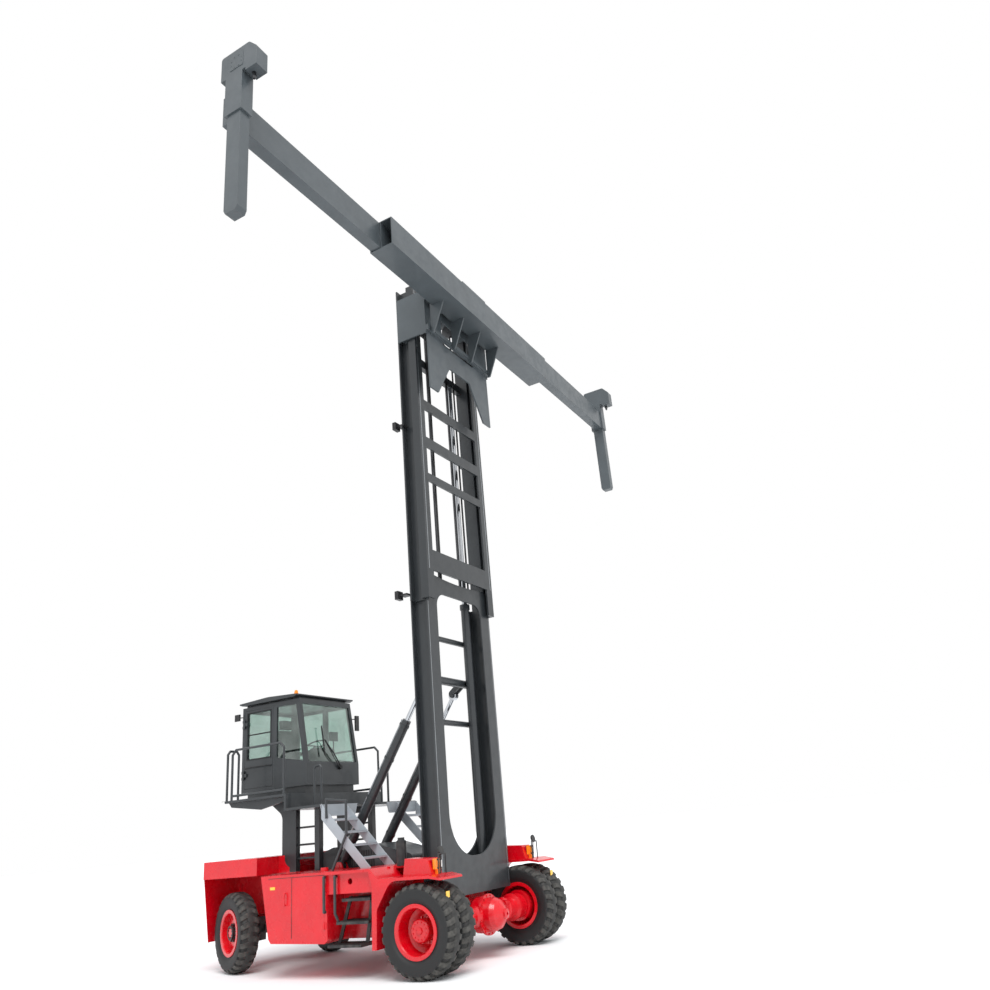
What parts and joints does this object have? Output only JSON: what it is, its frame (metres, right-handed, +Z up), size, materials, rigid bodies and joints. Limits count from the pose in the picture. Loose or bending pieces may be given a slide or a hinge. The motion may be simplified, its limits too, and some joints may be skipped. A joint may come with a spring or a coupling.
{
  "type": "empty container handler",
  "caption": "Lift truck for empty containers: twin-tyred drive axle, steered rear wheels, high cab, two-stage mast and a telescopic side-lift spreader.",
  "frame": {"origin": "on the ground below the middle of the whole machine's box", "axes": "+X points forward towards the spreader, +Y to the driver's left, +Z up"},
  "size_m": [6.1, 12.185, 12.08],
  "materials": {
    "body_red": "gloss red enamel",
    "mast_charcoal": "satin charcoal enamel",
    "cab_charcoal": "satin charcoal enamel",
    "spreader_grey": "satin grey enamel",
    "step_black": "black enamel",
    "rail_steel": "dark grey enamel",
    "stair_grey": "light grey enamel",
    "tyre_rubber": "black rubber",
    "engine_iron": "painted cast iron",
    "chrome_rod": "hard chrome",
    "chain_steel": "oiled chain steel",
    "window_glass": "pale green safety glass",
    "lamp_plastic": "amber lens plastic",
    "cab_trim": "black seat and console plastic"
  },
  "bodies": {
    "chassis": {"drive_axle": "body_red", "steer_axle": "step_black", "chassis_frame": "body_red", "counterweight": "body_red", "side_tanks": "body_red", "fenders": "body_red", "entry_steps": "step_black", "engine": "engine_iron", "hood": "cab_charcoal", "cab_support": "cab_charcoal", "walkway": "cab_charcoal", "stairs": "stair_grey", "railings": "rail_steel", "cab_shell": "cab_charcoal", "cab_glass": "window_glass", "cab_roof": "cab_charcoal", "cab_interior": "cab_trim", "lamps": "lamp_plastic", "guards_and_mirrors": "step_black"},
    "door": {"door_leaf": "cab_charcoal", "door_glass": "window_glass"},
    "wheel_front_right": {"tyres_front_right": "tyre_rubber", "rims_front_right": "body_red"},
    "wheel_front_left": {"tyres_front_left": "tyre_rubber", "rims_front_left": "body_red"},
    "knuckle_right": {"knuckle_right": "step_black"},
    "knuckle_left": {"knuckle_left": "step_black"},
    "wheel_rear_right": {"tyre_rear_right": "tyre_rubber", "rim_rear_right": "body_red"},
    "wheel_rear_left": {"tyre_rear_left": "tyre_rubber", "rim_rear_left": "body_red"},
    "mast_fixed": {"mast_fixed": "mast_charcoal", "lift_barrels": "mast_charcoal"},
    "mast_moving": {"mast_moving": "mast_charcoal", "lift_rods": "chrome_rod", "lift_chains": "chain_steel"},
    "carriage": {"carriage": "spreader_grey"},
    "spreader_frame": {"spreader_frame": "spreader_grey"},
    "beam_right": {"beam_right": "spreader_grey", "lock_pin_right": "chain_steel"},
    "beam_left": {"beam_left": "spreader_grey", "lock_pin_left": "chain_steel"},
    "tilt_barrel_right": {"tilt_barrel_right": "mast_charcoal"},
    "tilt_barrel_left": {"tilt_barrel_left": "mast_charcoal"},
    "tilt_rod_right": {"tilt_rod_right": "chrome_rod"},
    "tilt_rod_left": {"tilt_rod_left": "chrome_rod"}
  },
  "joints": [
    {"name": "wheel_front_right_spin", "type": "hinge", "parent": "chassis", "child": "wheel_front_right", "pos_m": [1.88, -1.448, 0.605], "axis": [0, 1, 0], "continuous": true},
    {"name": "wheel_front_left_spin", "type": "hinge", "parent": "chassis", "child": "wheel_front_left", "pos_m": [1.88, 1.448, 0.605], "axis": [0, 1, 0], "continuous": true},
    {"name": "steer_right", "type": "hinge", "parent": "chassis", "child": "knuckle_right", "pos_m": [-2.14, -0.8, 0.605], "axis": [0, 0, 1], "range_deg": [-29, 71]},
    {"name": "wheel_rear_right_spin", "type": "hinge", "parent": "knuckle_right", "child": "wheel_rear_right", "pos_m": [-2.23676, -1.05207, 0.605], "axis": [0.3584, 0.9336, 0], "continuous": true},
    {"name": "steer_left", "type": "hinge", "parent": "chassis", "child": "knuckle_left", "pos_m": [-2.14, 0.8, 0.605], "axis": [0, 0, 1], "range_deg": [-29, 71]},
    {"name": "wheel_rear_left_spin", "type": "hinge", "parent": "knuckle_left", "child": "wheel_rear_left", "pos_m": [-2.04324, 1.05207, 0.605], "axis": [0.3584, 0.9336, 0], "continuous": true},
    {"name": "cab_door_hinge", "type": "hinge", "parent": "chassis", "child": "door", "pos_m": [-2.53, -0.713, 3.55], "axis": [0, 0, 1], "range_deg": [-45, 0]},
    {"name": "mast_tilt", "type": "hinge", "parent": "chassis", "child": "mast_fixed", "pos_m": [1.42, 0, 1], "axis": [0, 1, 0], "range_deg": [-5, 3]},
    {"name": "mast_lift", "type": "slide", "parent": "mast_fixed", "child": "mast_moving", "axis": [0, 0, 1], "range_m": [-4.45, 0]},
    {"name": "carriage_lift", "type": "slide", "parent": "mast_moving", "child": "carriage", "axis": [0, 0, 1], "range_m": [-4.45, 0]},
    {"name": "spreader_shift", "type": "slide", "parent": "carriage", "child": "spreader_frame", "axis": [0, 1, 0], "range_m": [-0.6, 0.6]},
    {"name": "telescope_right", "type": "slide", "parent": "spreader_frame", "child": "beam_right", "axis": [0, -1, 0], "range_m": [-3.07, 0]},
    {"name": "telescope_left", "type": "slide", "parent": "spreader_frame", "child": "beam_left", "axis": [0, 1, 0], "range_m": [-3.07, 0]},
    {"name": "tilt_barrel_right_pivot", "type": "hinge", "parent": "chassis", "child": "tilt_barrel_right", "pos_m": [-0.48, -0.5, 1.47], "axis": [0, 1, 0], "range_deg": [-4.06, 2.47]},
    {"name": "tilt_rod_right_stroke", "type": "slide", "parent": "tilt_barrel_right", "child": "tilt_rod_right", "axis": [0.562, 0, 0.8271], "range_m": [-0.1622, 0.0977]},
    {"name": "tilt_barrel_left_pivot", "type": "hinge", "parent": "chassis", "child": "tilt_barrel_left", "pos_m": [-0.48, 0.5, 1.47], "axis": [0, 1, 0], "range_deg": [-4.06, 2.47]},
    {"name": "tilt_rod_left_stroke", "type": "slide", "parent": "tilt_barrel_left", "child": "tilt_rod_left", "axis": [0.562, 0, 0.8271], "range_m": [-0.1622, 0.0977]}
  ],
  "couplings": [
    {"joint": "steer_left", "follows": "steer_right", "ratio": 1},
    {"joint": "carriage_lift", "follows": "mast_lift", "ratio": 1},
    {"joint": "telescope_left", "follows": "telescope_right", "ratio": 1},
    {"joint": "tilt_barrel_right_pivot", "follows": "mast_tilt", "ratio": 0.7915},
    {"joint": "tilt_rod_right_stroke", "follows": "mast_tilt", "m_per_rad": 1.8476},
    {"joint": "tilt_barrel_left_pivot", "follows": "mast_tilt", "ratio": 0.7915},
    {"joint": "tilt_rod_left_stroke", "follows": "mast_tilt", "m_per_rad": 1.8476}
  ]
}
